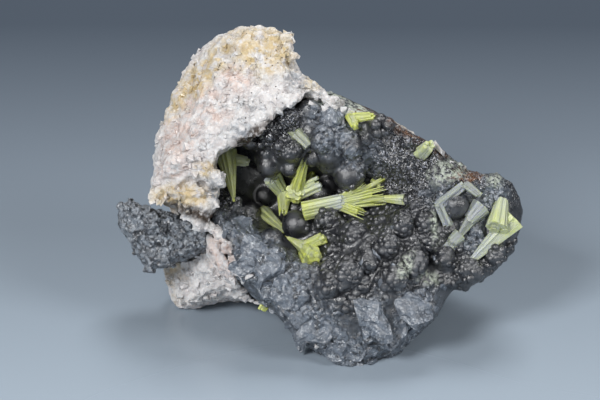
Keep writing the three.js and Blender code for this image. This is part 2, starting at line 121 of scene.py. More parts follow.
PALE_SPOTS = (
    (18.2, -11.3, 1.0, 2.3, -25), (25.6, 5.0, 3.8, 1.7, 15), (22.4, -13.4, 1.6, 1.1, 0),
    (23.2, -4.4, 0.6, 3.4, 5), (4.4, 18.0, 4.0, 1.5, -25), (9.4, 15.6, 3.0, 1.2, -25),
    (33.6, 3.4, 1.5, 1.2, 0),
)
RUST_SPOTS = (
    (18.6, 12.4, 3.6, 1.4, -30), (11.0, 15.0, 2.0, 1.2, 0), (24.6, 8.6, 1.2, 1.2, 0),
    (29.0, 4.4, 3.0, 1.4, 0),
)

# Zones of the quartz, in the same form
OCHRE_SPOTS = (
    (-6.4, 26.0, 6.0, 4.4, 0), (-17.5, 21.5, 9.5, 2.3, 48), (-20.8, 0.4, 5.4, 2.2, 0),
    (2.2, 20.4, 1.6, 1.4, 0), (-16.0, 5.4, 2.0, 1.4, 0),
)
PINK_SPOTS = (
    (-16.4, 16.2, 4.4, 4.0, 20), (-21.0, 10.6, 3.2, 3.6, 0), (-22.0, 5.4, 3.2, 1.5, 10),
    (-13.5, -9.5, 2.2, 4.0, 25), (-11.0, 20.8, 3.0, 2.4, 0),
)
SPECK_SPOTS = ((-6.4, 22.6, 7.6, 7.6, 0), (-9.0, 16.0, 5.0, 4.0, 0))
GREY_SPOTS = (
    (-14.0, 1.2, 2.0, 3.2, 0), (-18.5, -2.2, 3.0, 1.0, 0), (-9.6, 11.4, 3.0, 1.6, -20),
    (-0.6, 21.0, 2.0, 1.8, 0),
)

GRIME_SPOTS = (
    (17.5, 11.8, 10.5, 2.8, -30), (-9.4, 10.0, 6.0, 1.2, 40), (-17.0, -2.6, 6.0, 1.0, -20),
)
CAVE_SPOT = (-8.0, 5.5, 9.0, 9.5, 0)
CAVE_BOTTOM = -15.0
HOLLOW_SPOT = (0.0, 1.0, 15.5, 9.5, -8)

# Lumps of quartz that stand out of the stone: middle u, v, w and size
QUARTZ_LUMPS = (
    (-3.4, 27.6, -3.0, 2.2), (-2.6, 25.2, -2.4, 2.0), (-8.4, 29.2, -3.2, 1.8), (-13.6, -5.8, 2.0, 1.9),
    (-12.6, -8.2, 2.6, 2.0), (-11.2, -10.8, 2.8, 1.8), (-9.8, -13.4, 2.6, 1.6), (-24.0, 1.4, 1.0, 1.9),
    (-21.2, 0.2, 2.0, 2.2), (-18.4, 0.6, 2.2, 2.2), (-16.2, -1.2, 2.4, 2.0), (-17.4, -3.0, 2.0, 1.9),
    (-15.6, -4.6, 2.4, 1.9), (-20.0, -1.6, 1.8, 1.8), (-14.8, 3.4, 2.8, 1.8),
    (1.2, 19.6, 0.8, 1.6), (3.2, 18.6, 0.8, 1.5), (5.2, 17.4, 0.6, 1.3), (-0.8, 21.0, -0.4, 1.8),
    (2.2, 18.0, 0.9, 1.2), (6.8, 16.8, 0.2, 1.1),
)

# Plates of the blue-grey break: middle u, v, half width, half height, turn in degrees
PLATES = (
    (12.6, -20.6, 2.1, 4.8, -10), (19.6, -18.8, 3.3, 3.0, 15), (16.4, -22.6, 2.6, 2.0, 40),
    (7.8, -25.8, 3.4, 2.2, 10),
    (3.2, -22.4, 3.4, 2.2, -40), (-0.4, -19.0, 3.2, 2.2, -40), (-2.6, -15.6, 3.2, 2.4, -42),
    (-5.4, -11.6, 3.2, 2.4, -48),
    (-7.6, -8.6, 2.8, 2.2, -50), (-9.6, -5.0, 2.8, 2.0, -52), (-11.4, -1.8, 2.4, 1.6, -55),
    (-9.2, -11.2, 3.0, 1.8, -55),
    (-6.0, -15.0, 2.6, 1.8, -45), (0.2, -23.6, 2.6, 1.6, -35), (5.4, 14.4, 2.6, 1.8, -20),
    (12.2, 7.2, 1.6, 2.0, 20),
)
PLATE_SEED = 4

# White chips lying on the crust: u, v, size
WHITE_CHIPS = (
    (3.4, 17.6, 2.6), (5.6, 16.6, 2.2), (4.4, 15.6, 1.6), (7.6, 15.6, 1.2), (8.8, 15.2, 1.3),
    (2.0, 16.6, 1.0), (24.0, 8.6, 2.2),
    (17.6, 12.4, 0.9), (28.4, 5.6, 0.9), (26.2, 6.4, 0.8), (3.0, -25.0, 0.9), (-3.2, -18.0, 1.0),
    (-10.8, -2.2, 0.8), (-9.8, -6.4, 0.7), (-8.8, -13.0, 1.2), (1.4, -24.4, 0.8), (9.4, 12.4, 0.8),
    (11.6, 13.8, 0.8),
)

CLEAR_CRYSTALS = ("crystal_club", "crystal_elbow", "crystal_tab")

GRAIN_TRIES = 1300
GRAIN_SPAN_U = (-27.0, 8.0)
GRAIN_SPAN_V = (-20.0, 31.0)
FLAKE_TRIES = 900
FLAKE_SPAN_U = (-16.0, 38.0)
FLAKE_SPAN_V = (-31.0, 20.0)
VEIN_VOXEL = 0.22
BLOCK_TRIES = 260
BLOCK_SPAN_U = (-32.0, -13.0)
BLOCK_SPAN_V = (-13.0, 1.0)
CROWDING = 0.66
SINKING = (0.4, 0.75)

# Bundles of crystal rods: start, end, radius at start and end, flatness, rods, fraying, tint at start and end
# A tint of 0 is grey-green and of 1 yellow-green
BUNDLES = {
    "crystal_sheaf": (
        ((0.5, -1.9, -0.8), (7.4, -0.3, -1.0), 1.55, 1.45, 0.9, 22, 0.04, 0.95, 0.15),
        ((6.2, -0.6, -1.0), (13.6, 0.9, -0.6), 1.2, 2.3, 0.55, 44, 0.22, 0.5, 1.0),
        ((6.4, -0.5, -0.9), (10.2, 2.5, -0.5), 0.7, 1.0, 0.8, 14, 0.25, 0.8, 1.0),
        ((6.6, -0.8, -0.8), (10.6, -2.3, 0.4), 0.8, 1.3, 0.7, 18, 0.25, 0.8, 1.0),
        ((8.0, 0.0, -1.0), (14.5, 3.6, -2.2), 0.5, 0.55, 0.8, 5, 0.15, 0.9, 0.9),
        ((12.6, 3.4, -3.0), (15.4, 1.0, -1.3), 0.5, 0.35, 0.6, 4, 0.1, 0.9, 1.0),
        ((9.5, 0.2, -0.8), (15.4, 0.2, -0.3), 0.6, 0.6, 0.8, 7, 0.1, 1.0, 0.9),
        ((14.8, 0.2, -0.4), (18.3, 0.0, 0.7), 0.6, 1.1, 0.8, 8, 0.08, 1.0, 0.4),
    ),
    "crystal_centre": (
        ((-0.9, 0.3, -9.4), (-0.9, 1.6, -2.6), 1.3, 1.6, 1.0, 14, 0.04, 0.8, 1.0),
        ((-1.0, 0.6, -4.2), (1.0, 7.2, 0.5), 1.4, 0.9, 0.7, 24, 0.22, 1.0, 1.0),
        ((-1.4, 0.8, -4.4), (3.2, 2.9, -2.6), 1.2, 1.5, 0.6, 14, 0.12, 1.0, 0.35),
        ((0.2, 2.4, -6.2), (2.6, 4.4, -4.2), 0.9, 1.0, 0.9, 7, 0.08, 0.9, 1.0),
        ((-2.4, 0.2, -9.2), (-5.0, 4.0, -5.6), 0.8, 1.7, 0.6, 14, 0.06, 0.6, 0.3),
        ((-2.6, 1.0, -7.8), (-2.9, -2.2, -5.4), 1.2, 0.9, 0.6, 9, 0.2, 0.7, 0.9),
    ),
    "crystal_cave_wall": (
        ((-12.9, 8.4, -6.6), (-11.5, 0.1, -3.4), 2.0, 0.35, 0.55, 16, 0.05, 0.7, 1.0),
        ((-12.4, 7.2, -6.2), (-9.0, 6.6, -6.2), 1.2, 1.1, 0.6, 8, 0.12, 0.6, 0.5),
    ),
    "crystal_cave_floor": (((-6.6, -2.2, -10.4), (-2.7, -5.4, -3.8), 1.2, 0.7, 0.6, 10, 0.15, 0.7, 0.8),),
    "crystal_fan": (
        ((0.8, -8.2, -0.6), (2.2, -10.0, 4.4), 1.5, 2.0, 0.8, 16, 0.05, 0.8, 0.9),
        ((0.8, -8.0, 1.4), (4.2, -6.4, 3.0), 0.9, 1.2, 0.6, 9, 0.1, 0.8, 1.0),
        ((1.0, -8.4, 1.6), (-2.6, -6.2, 1.4), 1.1, 0.5, 0.6, 10, 0.2, 0.8, 1.0),
    ),
    "crystal_tab": (
        ((-2.3, 12.9, 1.5), (0.2, 10.9, 2.9), 0.9, 1.3, 0.5, 9, 0.08, 0.5, 0.4),
        ((-0.6, 11.5, 2.6), (1.6, 9.4, 3.1), 1.2, 1.1, 0.5, 9, 0.08, 0.4, 0.3),
    ),
    "crystal_club": (
        ((31.5, -1.1, 2.0), (29.2, -3.6, 2.5), 1.6, 1.2, 0.8, 10, 0.06, -0.1, 0.1),
        ((29.6, -3.2, 2.4), (27.4, -6.3, 2.3), 1.0, 0.45, 0.9, 7, 0.03, 0.1, 0.45),
        ((27.6, -6.2, 2.0), (25.9, -7.6, 2.5), 1.3, 1.3, 1.0, 8, 0.1, 0.15, 0.1),
        ((26.2, -7.4, 1.8), (25.0, -9.3, 2.3), 1.0, 1.5, 0.8, 8, 0.1, 0.1, 0.05),
    ),
    "crystal_pair": (
        ((35.0, -0.2, 0.6), (34.0, -5.0, 3.8), 1.1, 2.0, 0.95, 12, 0.04, 0.35, 0.55),
        ((37.0, -3.4, 1.3), (29.0, -11.1, 2.5), 1.9, 0.4, 0.75, 14, 0.04, 0.6, 0.1),
    ),
    "crystal_elbow": (
        ((23.8, -1.2, 2.6), (28.4, 2.6, 2.5), 1.0, 0.9, 0.8, 8, 0.06, 0.0, 0.05),
        ((24.0, -0.6, 2.6), (25.6, -4.4, 2.1), 0.9, 1.0, 0.8, 8, 0.08, 0.0, 0.1),
        ((28.4, 2.9, 2.2), (31.0, 0.8, 2.3), 0.7, 0.6, 0.8, 6, 0.08, 0.2, 0.25),
    ),
    "crystal_ridge": (((21.0, 8.0, 1.6), (22.4, 9.4, 4.0), 1.3, 1.3, 1.0, 8, 0.12, 0.45, 0.6),),
    "crystal_upper": (
        ((8.8, 14.4, 0.9), (9.6, 12.6, 3.6), 0.9, 0.9, 0.9, 7, 0.12, 0.9, 1.0),
        ((9.4, 14.2, 1.2), (12.6, 14.6, 2.4), 0.8, 0.8, 0.8, 6, 0.12, 0.9, 1.0),
    ),
    "crystal_foot": (((-5.4, -17.2, 0.6), (-6.8, -19.3, 0.8), 0.8, 0.9, 0.9, 6, 0.15, 0.9, 1.0),),
}

# Colours of small marks, of painted shade and of painted glints, and the outputs of a look that two materials
# share
GREYISH_WHITE = (0.60, 0.56, 0.55, 1.0)
BRIGHT_GRAIN = (0.82, 0.81, 0.80, 1.0)
DARK_SPECK = (0.03, 0.022, 0.018, 1.0)
BROWN_GRIME = (0.055, 0.038, 0.028, 1.0)
# Painted shade of the cave
CAVE_SHADE_BLACK = (0.014, 0.013, 0.014, 1.0)
DARK_BREAK = (0.026, 0.030, 0.038, 1.0)
# A painted glint
PAINTED_GLINT = (0.56, 0.60, 0.64, 1.0)
# Painted shade of the hollow
HOLLOW_SHADE_BLACK = (0.009, 0.009, 0.011, 1.0)
DRUSY_BLACK = (0.012, 0.012, 0.015, 1.0)
SPARKLE = (0.30, 0.31, 0.36, 1.0)
CRYSTAL_HAZE = (0.82, 0.84, 0.60, 1.0)
LOOK = {"Colour": "Color", "Roughness": "Float", "Height": "Float"}

# The stage in metres: place, size and power in watts of each light
LIGHTS = {
    "key": ((-0.52, -0.72, 0.70), 0.34, 10.2),
    "front": ((-0.35, -0.95, 0.22), 0.50, 1.5),
    "fill": ((0.70, -0.45, 0.60), 0.40, 4.8),
    "back": ((0.10, 0.45, 0.90), 0.40, 5.0),
}
LIGHT_AIM = Vector((0, 0, 0.02))
SKY = (0.55, 0.60, 0.66, 1.0)
SKY_STRENGTH = 0.17
FLOOR_HALF = 1.5
# The floor is painted darker from front to back between these places, in metres: painted shade of the light
# falling off
FLOOR_SHADE_SPAN = (-0.036, 0.130)

# The camera in millimetres: what its picture takes in at the display face, and its sensor
VIEW_WIDTH = 103.9604
SENSOR_WIDTH = 36.0


class QuartzSettings(bpy.types.PropertyGroup):
    voxel: bpy.props.FloatProperty(
        name="Detail", description="Size of the finest relief in millimetres", default=0.42, min=0.2)
    relief: bpy.props.FloatProperty(
        name="Relief", description="Depth of the broken relief in millimetres", default=0.9, min=0.0)
    white: bpy.props.FloatVectorProperty(
        name="White", description="Clean quartz", subtype="COLOR", size=4, default=(0.69, 0.67, 0.66, 1.0))
    pink: bpy.props.FloatVectorProperty(
        name="Pink", description="Pinkish patches", subtype="COLOR", size=4,
        default=(0.66, 0.44, 0.35, 1.0))
    ochre: bpy.props.FloatVectorProperty(
        name="Ochre", description="Yellow-brown stain", subtype="COLOR", size=4,
        default=(0.58, 0.42, 0.16, 1.0))
    grey: bpy.props.FloatVectorProperty(
        name="Grey", description="Glassy grey quartz", subtype="COLOR", size=4,
        default=(0.34, 0.35, 0.37, 1.0))


class GoethiteSettings(bpy.types.PropertyGroup):
    voxel: bpy.props.FloatProperty(
        name="Detail", description="Size of the finest relief in millimetres", default=0.32, min=0.15)
    skin: bpy.props.FloatVectorProperty(
        name="Skin", description="Dark skin of the grapes", subtype="COLOR", size=4,
        default=(0.010, 0.011, 0.015, 1.0))
    dust: bpy.props.FloatVectorProperty(
        name="Dust", description="Greyish film on the skin", subtype="COLOR", size=4,
        default=(0.050, 0.053, 0.061, 1.0))
    fresh: bpy.props.FloatVectorProperty(
        name="Fresh break", description="Blue-grey broken faces", subtype="COLOR", size=4,
        default=(0.150, 0.176, 0.216, 1.0))
    vein: bpy.props.FloatVectorProperty(
        name="Vein", description="Bright breaks of the vein", subtype="COLOR", size=4,
        default=(0.30, 0.33, 0.37, 1.0))
    plate: bpy.props.FloatVectorProperty(
        name="Plates", description="Smooth plates of the break", subtype="COLOR", size=4,
        default=(0.150, 0.176, 0.216, 1.0))
    crust: bpy.props.FloatVectorProperty(
        name="Pale crust", description="Greenish white film", subtype="COLOR", size=4,
        default=(0.42, 0.46, 0.38, 1.0))
    rust: bpy.props.FloatVectorProperty(
        name="Rust", description="Brown stain at the upper edge", subtype="COLOR", size=4,
        default=(0.16, 0.07, 0.03, 1.0))


class CrystalSettings(bpy.types.PropertyGroup):
    yellow: bpy.props.FloatVectorProperty(
        name="Yellow-green", description="Bright crystal", subtype="COLOR", size=4,
        default=(0.70, 0.79, 0.12, 1.0))
    pale: bpy.props.FloatVectorProperty(
        name="Grey-green", description="Pale crystal", subtype="COLOR", size=4,
        default=(0.60, 0.68, 0.57, 1.0))
    clearness: bpy.props.FloatProperty(
        name="Clearness", description="Share of light that passes through", subtype="FACTOR",
        default=0.14, min=0.0, max=1.0)
    index: bpy.props.FloatProperty(
        name="Refraction", description="Index of refraction", default=2.05, min=1.0, max=3.0)


class StageSettings(bpy.types.PropertyGroup):
    # The floor's colour in front and behind: the darker colour behind is painted shade
    lit_near: bpy.props.FloatVectorProperty(
        name="Near floor", description="Colour of the floor in front", subtype="COLOR", size=4,
        default=(0.337, 0.398, 0.463, 1.0))
    shaded_far: bpy.props.FloatVectorProperty(
        name="Far floor", description="Colour of the floor behind", subtype="COLOR", size=4,
        default=(0.070, 0.089, 0.117, 1.0))
    lens: bpy.props.FloatProperty(
        name="Lens", description="Focal length of the camera in millimetres", default=300.0, min=20.0)


class SpecimenSettings(bpy.types.PropertyGroup):
    quartz: bpy.props.PointerProperty(type=QuartzSettings)
    goethite: bpy.props.PointerProperty(type=GoethiteSettings)
    crystal: bpy.props.PointerProperty(type=CrystalSettings)
    stage: bpy.props.PointerProperty(type=StageSettings)


# Meshes


def stone_from_node(name):
    """A CAD node's shape in display millimetres, with its loose triangles merged."""
    bm = bmesh.new()
    bm.from_mesh(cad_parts[name].data)
    bm.transform(DISPLAY.inverted())
    bmesh.ops.remove_doubles(bm, verts=bm.verts, dist=MERGE)
    return bm


def object_from(bm, name):
    mesh = bpy.data.meshes.new(name)
    bm.to_mesh(mesh)
    bm.free()
    obj = bpy.data.objects.new(name, mesh)
    bpy.context.scene.collection.objects.link(obj)
    return obj


def apply_modifier(obj, kind, **values):
    modifier = obj.modifiers.new(kind.title(), kind)
    for key, value in values.items():
        setattr(modifier, key, value)
    with bpy.context.temp_override(object=obj, active_object=obj, selected_objects=[obj]):
        bpy.ops.object.modifier_apply(modifier=modifier.name)


def roughen(obj, kind, size, strength, group=""):
    """Pushes the surface in and out by a pattern of that size, in millimetres."""
    texture = bpy.data.textures.new(f"{obj.name}_{kind.lower()}", kind)
    texture.noise_scale = size
    apply_modifier(
        obj, "DISPLACE", texture=texture, texture_coords="LOCAL", strength=strength,
        mid_level=0.5, vertex_group=group)


def vertices_of(obj):
    places = np.empty(len(obj.data.vertices) * 3, np.float32)
    obj.data.vertices.foreach_get("co", places)
    return places.reshape(-1, 3)


def wobble(places, size, depth, seed):
    shift = Vector((seed, 0, 0))
    return np.array([depth * noise.noise(Vector(p) / size + shift) for p in places], np.float32)


def unevenness(places):
    """A ragged noise over the points, for the edges of the zones."""
    return wobble(places, 1.6, 0.32, 0.0) + wobble(places, 0.6, 0.18, 9.0)


def zone(places, spots, uneven, softness=0.35):
    """How far each point lies inside the spots, from 0 to 1, with a ragged edge.

    The spots fade out behind the display face.
    """
    inside = np.zeros(len(places), np.float32)
    for u, v, half_width, half_height, turn in spots:
        a = math.radians(turn)
        du, dv = places[:, 0] - u, places[:, 1] - v
        along = (du * math.cos(a) + dv * math.sin(a)) / half_width
        across = (dv * math.cos(a) - du * math.sin(a)) / half_height
        reach = np.hypot(along, across) + uneven
        inside = np.maximum(inside, np.clip((1.0 + softness - reach) / (2 * softness), 0.0, 1.0))
    return inside * np.clip((places[:, 2] - STAIN_DEPTH) / STAIN_FADE, 0.0, 1.0)


def add_zone(obj, name, values):
    attribute = obj.data.attributes.new(name, "FLOAT", "POINT")
    attribute.data.foreach_set("value", np.ascontiguousarray(values, np.float32))


def add_weights(obj, name, values):
    group = obj.vertex_groups.new(name=name)
    for step in range(1, 11):
        chosen = np.flatnonzero(np.round(values * 10) == step)
        group.add([int(i) for i in chosen], step / 10, "REPLACE")


def finish_piece(obj, material, slot, *nodes):
    """Puts a piece in place in metres, none of it under the floor, and lets it stand for its CAD nodes."""
    obj.data.transform(DISPLAY)
    for vert in obj.data.vertices:
        vert.co.z = max(vert.co.z, 0.0)
    obj.data.materials.append(material)
    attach(obj, "root")
    if nodes:
        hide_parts(*nodes)


# Materials


def new_material(name):
    material = bpy.data.materials.new(name)
    material.use_nodes = True
    return material, material.node_tree, material.node_tree.nodes["Principled BSDF"]


def add_node(tree, kind, **values):
    node = tree.nodes.new(kind)
    for key, value in values.items():
        if key in node.inputs:
            node.inputs[key].default_value = value
        else:
            setattr(node, key, value)
    return node


def millimetres(tree):
    """Object coordinates in millimetres."""
    where = add_node(tree, "ShaderNodeTexCoord")
    scale = add_node(tree, "ShaderNodeVectorMath", operation="SCALE", Scale=1.0 / MM)
    tree.links.new(where.outputs["Object"], scale.inputs[0])
    return scale.outputs["Vector"]


def zone_value(tree, name):
    return add_node(tree, "ShaderNodeAttribute", attribute_name=name).outputs["Fac"]


def mix_colour(tree, factor, a, b):
    mix = add_node(tree, "ShaderNodeMix", data_type="RGBA")
    for socket, value in ((mix.inputs["Factor"], factor), (mix.inputs[6], a), (mix.inputs[7], b)):
        if isinstance(value, bpy.types.NodeSocket):
            tree.links.new(value, socket)
        else:
            socket.default_value = value
    return mix.outputs[2]


def math_node(tree, operation, a, b=0.0, clamp=False):
    node = add_node(tree, "ShaderNodeMath", operation=operation, use_clamp=clamp)
    for socket, value in zip(node.inputs, (a, b)):
        if isinstance(value, bpy.types.NodeSocket):
            tree.links.new(value, socket)
        else:
            socket.default_value = value
    return node.outputs[0]


def ramp(tree, value, low, high, out_low=0.0, out_high=1.0):
    node = add_node(tree, "ShaderNodeMapRange")
    node.inputs["From Min"].default_value = low
    node.inputs["From Max"].default_value = high
    node.inputs["To Min"].default_value = out_low
    node.inputs["To Max"].default_value = out_high
    tree.links.new(value, node.inputs["Value"])
    return node.outputs["Result"]


def new_group(name, inputs, outputs):
    """An empty shader node group with sockets of the kinds that are given for its inputs and outputs."""
    group = bpy.data.node_groups.new(name, "ShaderNodeTree")
    for in_out, sockets in (("INPUT", inputs), ("OUTPUT", outputs)):
        for socket, kind in sockets.items():
            group.interface.new_socket(socket, in_out=in_out, socket_type=f"NodeSocket{kind}")
    return group, group.nodes.new("NodeGroupInput"), group.nodes.new("NodeGroupOutput")


def use_group(tree, group, **values):
    node = add_node(tree, "ShaderNodeGroup", node_tree=group)
    for key, value in values.items():
        if isinstance(value, bpy.types.NodeSocket):
            tree.links.new(value, node.inputs[key])
        else:
            node.inputs[key].default_value = value
    return node.outputs


def mottle_group():
    """Cloudy patches: a mask that runs from 0 to 1 over the surface."""
    group = bpy.data.node_groups.get("mottle")
    if group:
        return group
    inputs = {"Place": "Vector", "Size": "Float", "Low": "Float", "High": "Float"}
    group, inlet, outlet = new_group("mottle", inputs, {"Mask": "Float"})
    pattern = add_node(group, "ShaderNodeTexNoise", Detail=5.0, Roughness=0.6)
    spread = add_node(group, "ShaderNodeMapRange", interpolation_type="SMOOTHSTEP")
    group.links.new(inlet.outputs["Place"], pattern.inputs["Vector"])
    group.links.new(math_node(group, "DIVIDE", 1.0, inlet.outputs["Size"]), pattern.inputs["Scale"])
    group.links.new(pattern.outputs["Fac"], spread.inputs["Value"])
    group.links.new(inlet.outputs["Low"], spread.inputs["From Min"])
    group.links.new(inlet.outputs["High"], spread.inputs["From Max"])
    group.links.new(spread.outputs["Result"], outlet.inputs["Mask"])
    return group


def mottle(tree, place, size, low, high):
    return use_group(tree, mottle_group(), Place=place, Size=size, Low=low, High=high)["Mask"]


def grain_group():
    """Packed grains: tilted facets as a height in millimetres, roundness, and a number for each grain."""
    group = bpy.data.node_groups.get("grain")
    if group:
        return group
    outputs = {"Facet": "Float", "Round": "Float", "Each": "Float"}
    group, inlet, outlet = new_group("grain", {"Place": "Vector", "Size": "Float"}, outputs)
    cells = add_node(group, "ShaderNodeTexVoronoi", feature="F1")
    apart = group.nodes.new("ShaderNodeSeparateColor")
    offset = add_node(group, "ShaderNodeVectorMath", operation="SUBTRACT")
    tilt = add_node(group, "ShaderNodeVectorMath", operation="SUBTRACT")
    tilt.inputs[1].default_value = (0.5, 0.5, 0.5)
    slope = add_node(group, "ShaderNodeVectorMath", operation="DOT_PRODUCT")
    links = group.links
    links.new(inlet.outputs["Place"], cells.inputs["Vector"])
    links.new(math_node(group, "DIVIDE", 1.0, inlet.outputs["Size"]), cells.inputs["Scale"])
    links.new(cells.outputs["Color"], apart.inputs["Color"])
    links.new(inlet.outputs["Place"], offset.inputs[0])
    links.new(cells.outputs["Position"], offset.inputs[1])
    links.new(cells.outputs["Color"], tilt.inputs[0])
    links.new(offset.outputs["Vector"], slope.inputs[0])
    links.new(tilt.outputs["Vector"], slope.inputs[1])
    links.new(slope.outputs["Value"], outlet.inputs["Facet"])
    links.new(math_node(group, "SUBTRACT", 1.0, cells.outputs["Distance"]), outlet.inputs["Round"])
    links.new(apart.outputs[0], outlet.inputs["Each"])
    return group


def grain(tree, place, size):
    grains = use_group(tree, grain_group(), Place=place, Size=size)
    return grains["Facet"], grains["Round"], grains["Each"]


def add_bump(tree, bsdf, height, distance_mm, strength=1.0):
    bump = add_node(tree, "ShaderNodeBump", Strength=strength, Distance=distance_mm * MM)
    tree.links.new(height, bump.inputs["Height"])
    tree.links.new(bump.outputs["Normal"], bsdf.inputs["Normal"])


def quartz_material(settings):
    material, tree, bsdf = new_material("sugary_quartz")
    place = millimetres(tree)
    facet, _, each = grain(tree, place, 0.8)
    fine_facet, _, fine_each = grain(tree, place, 0.32)
    colour = mix_colour(tree, mottle(tree, place, 2.2, 0.42, 0.62), settings.white, GREYISH_WHITE)
    pink = math_node(tree, "MULTIPLY", zone_value(tree, "pink"), mottle(tree, place, 1.6, 0.36, 0.60))
    colour = mix_colour(tree, math_node(tree, "MULTIPLY", pink, 0.55), colour, settings.pink)
    ochre = math_node(tree, "MULTIPLY", zone_value(tree, "ochre"), mottle(tree, place, 1.8, 0.34, 0.56))
    colour = mix_colour(tree, math_node(tree, "MULTIPLY", ochre, 0.75), colour, settings.ochre)
    grey = math_node(tree, "MULTIPLY", zone_value(tree, "grey"), mottle(tree, place, 1.2, 0.40, 0.58))
    colour = mix_colour(tree, grey, colour, settings.grey)
    bright = math_node(tree, "MULTIPLY", ramp(tree, each, 0.60, 0.95), 0.4)
    colour = mix_colour(tree, bright, colour, BRIGHT_GRAIN)
    glassy = math_node(tree, "MULTIPLY", ramp(tree, fine_each, 0.30, 0.0), 0.08)
    colour = mix_colour(tree, glassy, colour, settings.grey)
    _, speck_round, speck_each = grain(tree, place, 0.9)
    speck = math_node(tree, "GREATER_THAN", speck_round, 0.84)
    speck = math_node(tree, "MULTIPLY", speck, math_node(tree, "GREATER_THAN", speck_each, 0.55))
    speck = math_node(tree, "MULTIPLY", speck, zone_value(tree, "speck"))
    colour = mix_colour(tree, math_node(tree, "MULTIPLY", speck, 0.9), colour, DARK_SPECK)
    grime = math_node(tree, "MULTIPLY", zone_value(tree, "grime"), mottle(tree, place, 1.1, 0.30, 0.52))
    colour = mix_colour(tree, grime, colour, BROWN_GRIME)
    # Painted shade: the quartz inside the cave is painted near black
    colour = mix_colour(tree, zone_value(tree, "painted_cave_shade"), colour, CAVE_SHADE_BLACK)
    tree.links.new(colour, bsdf.inputs["Base Color"])
    tree.links.new(ramp(tree, each, 0.0, 1.0, 0.25, 0.6), bsdf.inputs["Roughness"])
    bsdf.inputs["Subsurface Weight"].default_value = 0.4
    bsdf.inputs["Subsurface Radius"].default_value = (1.0, 0.9, 0.8)
    bsdf.inputs["Subsurface Scale"].default_value = 1.0 * MM
    bsdf.inputs["IOR"].default_value = 1.54
    add_bump(tree, bsdf, math_node(tree, "ADD", facet, fine_facet), 1.0, 0.65)
    return material


def goethite_group(settings):
    """The look of goethite, with the colour of its fresh break as input."""
    tree = bpy.data.node_groups.get("goethite_look")
    if tree:
        return tree
    tree, inlet, outlet = new_group("goethite_look", {"Fresh": "Color"}, LOOK)
    place = millimetres(tree)
    fine_facet, _, fine_each = grain(tree, place, 0.28)
    facet, _, _ = grain(tree, place, 0.75)
    broken = zone_value(tree, "break")
    drusy = zone_value(tree, "drusy")
    plate = zone_value(tree, "plate")
    colour = mix_colour(tree, mottle(tree, place, 2.6, 0.44, 0.70), settings.skin, settings.dust)
    fresh = mix_colour(tree, mottle(tree, place, 0.9, 0.38, 0.62), inlet.outputs["Fresh"], DARK_BREAK)
    # Painted glints: the brightest fine grains of the breaks are painted pale, as if they caught the light
    glints = math_node(tree, "MULTIPLY", ramp(tree, fine_each, 0.84, 0.99), 0.6)
    fresh = mix_colour(tree, glints, fresh, PAINTED_GLINT)
    colour = mix_colour(tree, broken, colour, fresh)
    shell = math_node(tree, "MULTIPLY", plate, mottle(tree, place, 1.8, 0.30, 0.60))
    colour = mix_colour(tree, math_node(tree, "MULTIPLY", shell, 0.7), colour, settings.plate)
    # Painted shade: the goethite is painted near black the deeper it lies in the hollow
    painted_hollow_shade = math_node(tree, "MULTIPLY", zone_value(tree, "painted_hollow_shade"), 0.9)
    colour = mix_colour(tree, painted_hollow_shade, colour, HOLLOW_SHADE_BLACK)
    colour = mix_colour(tree, math_node(tree, "MULTIPLY", drusy, 0.8), colour, DRUSY_BLACK)
    sparkle = math_node(tree, "MULTIPLY", math_node(tree, "GREATER_THAN", fine_each, 0.86), drusy)
    colour = mix_colour(tree, math_node(tree, "MULTIPLY", sparkle, 0.6), colour, SPARKLE)
    rust = math_node(tree, "MULTIPLY", zone_value(tree, "rust"), mottle(tree, place, 0.9, 0.40, 0.60))
    colour = mix_colour(tree, rust, colour, settings.rust)
    pale = math_node(tree, "MULTIPLY", zone_value(tree, "pale"), mottle(tree, place, 0.7, 0.42, 0.58))
    colour = mix_colour(tree, pale, colour, settings.crust)
    rough = ramp(tree, mottle(tree, place, 1.3, 0.35, 0.65), 0.0, 1.0, 0.25, 0.42)
    rough = math_node(tree, "ADD", rough, math_node(tree, "MULTIPLY", pale, 0.3), clamp=True)
    rough = math_node(tree, "SUBTRACT", rough, math_node(tree, "MULTIPLY", drusy, 0.15), clamp=True)
    edgy = math_node(tree, "MAXIMUM", broken, drusy)
    coarse = math_node(tree, "MULTIPLY", facet, 0.4)
    relief = math_node(tree, "MULTIPLY", math_node(tree, "ADD", fine_facet, coarse), edgy)
    flat = math_node(tree, "SUBTRACT", 1.0, math_node(tree, "MULTIPLY", plate, 0.7))
    relief = math_node(tree, "MULTIPLY", relief, flat)
    skin = add_node(tree, "ShaderNodeTexNoise", Scale=2.6, Detail=8.0, Roughness=0.65)
    tree.links.new(place, skin.inputs["Vector"])
    relief = math_node(tree, "ADD", relief, math_node(tree, "MULTIPLY", skin.outputs["Fac"], 0.12))
    link_look(tree, outlet, colour, rough, relief)
    return tree


def link_look(tree, outlet, colour, rough, height):
    for name, socket in zip(LOOK, (colour, rough, height)):
        tree.links.new(socket, outlet.inputs[name])


def goethite_material(settings, name, fresh_colour):
    material, tree, bsdf = new_material(name)
    look = use_group(tree, goethite_group(settings), Fresh=fresh_colour)
    tree.links.new(look["Colour"], bsdf.inputs["Base Color"])
    tree.links.new(look["Roughness"], bsdf.inputs["Roughness"])
    bsdf.inputs["IOR"].default_value = 2.0
    add_bump(tree, bsdf, look["Height"], 1.0, 0.9)
    return material


